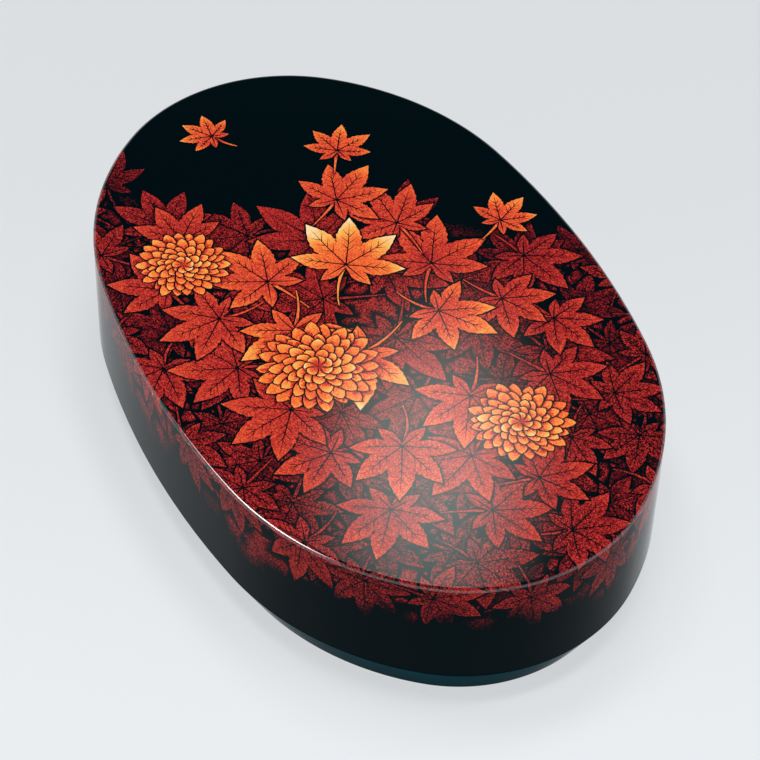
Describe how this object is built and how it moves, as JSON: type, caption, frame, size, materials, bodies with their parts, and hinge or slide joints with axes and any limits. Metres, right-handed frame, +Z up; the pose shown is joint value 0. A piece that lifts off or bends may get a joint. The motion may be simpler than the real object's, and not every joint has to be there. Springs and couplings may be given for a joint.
{
  "type": "tea ceremony box",
  "caption": "Oval black lacquer box with a deep lift-off cover over a low bevelled base and a hanging inner tray.",
  "frame": {"origin": "middle of the box's footprint, on the plane that the foot ring stands on", "axes": "+Z up, out through the cover; +X along the box's long axis; +Y along its short axis. The box is the same at both ends and both sides."},
  "size_m": [0.288, 0.182, 0.0655],
  "materials": {
    "black_lacquer": "polished black lacquer over a cloth and clay ground",
    "vermilion_lacquer": "smooth vermilion lacquer, satin",
    "tray_lacquer": "smooth vermilion lacquer, satin",
    "peg_wood": "split bamboo, unfinished"
  },
  "bodies": {
    "base": {"foot_ring": "black_lacquer", "plinth_ring": "vermilion_lacquer", "bottom_board": "vermilion_lacquer", "base_pegs": "peg_wood", "body_hoop": "vermilion_lacquer", "base_cove": "vermilion_lacquer", "base_coat": "black_lacquer"},
    "cover": {"lid_top_board": "vermilion_lacquer", "lid_hoop": "vermilion_lacquer", "lid_pegs": "peg_wood", "lid_cove": "vermilion_lacquer", "lid_coat": "black_lacquer"},
    "tray": {"tray_floor": "tray_lacquer", "tray_hoop": "tray_lacquer", "tray_pegs": "peg_wood", "tray_cove": "tray_lacquer", "tray_lip": "tray_lacquer"}
  },
  "joints": [
    {"name": "lid_lift", "type": "slide", "parent": "base", "child": "cover", "axis": [0, 0, 1], "range_m": [0, 0.1]},
    {"name": "tray_lift", "type": "slide", "parent": "base", "child": "tray", "axis": [0, 0, 1], "range_m": [0, 0.045]}
  ],
  "couplings": [
    {"joint": "tray_lift", "follows": "lid_lift", "ratio": 0.45}
  ]
}
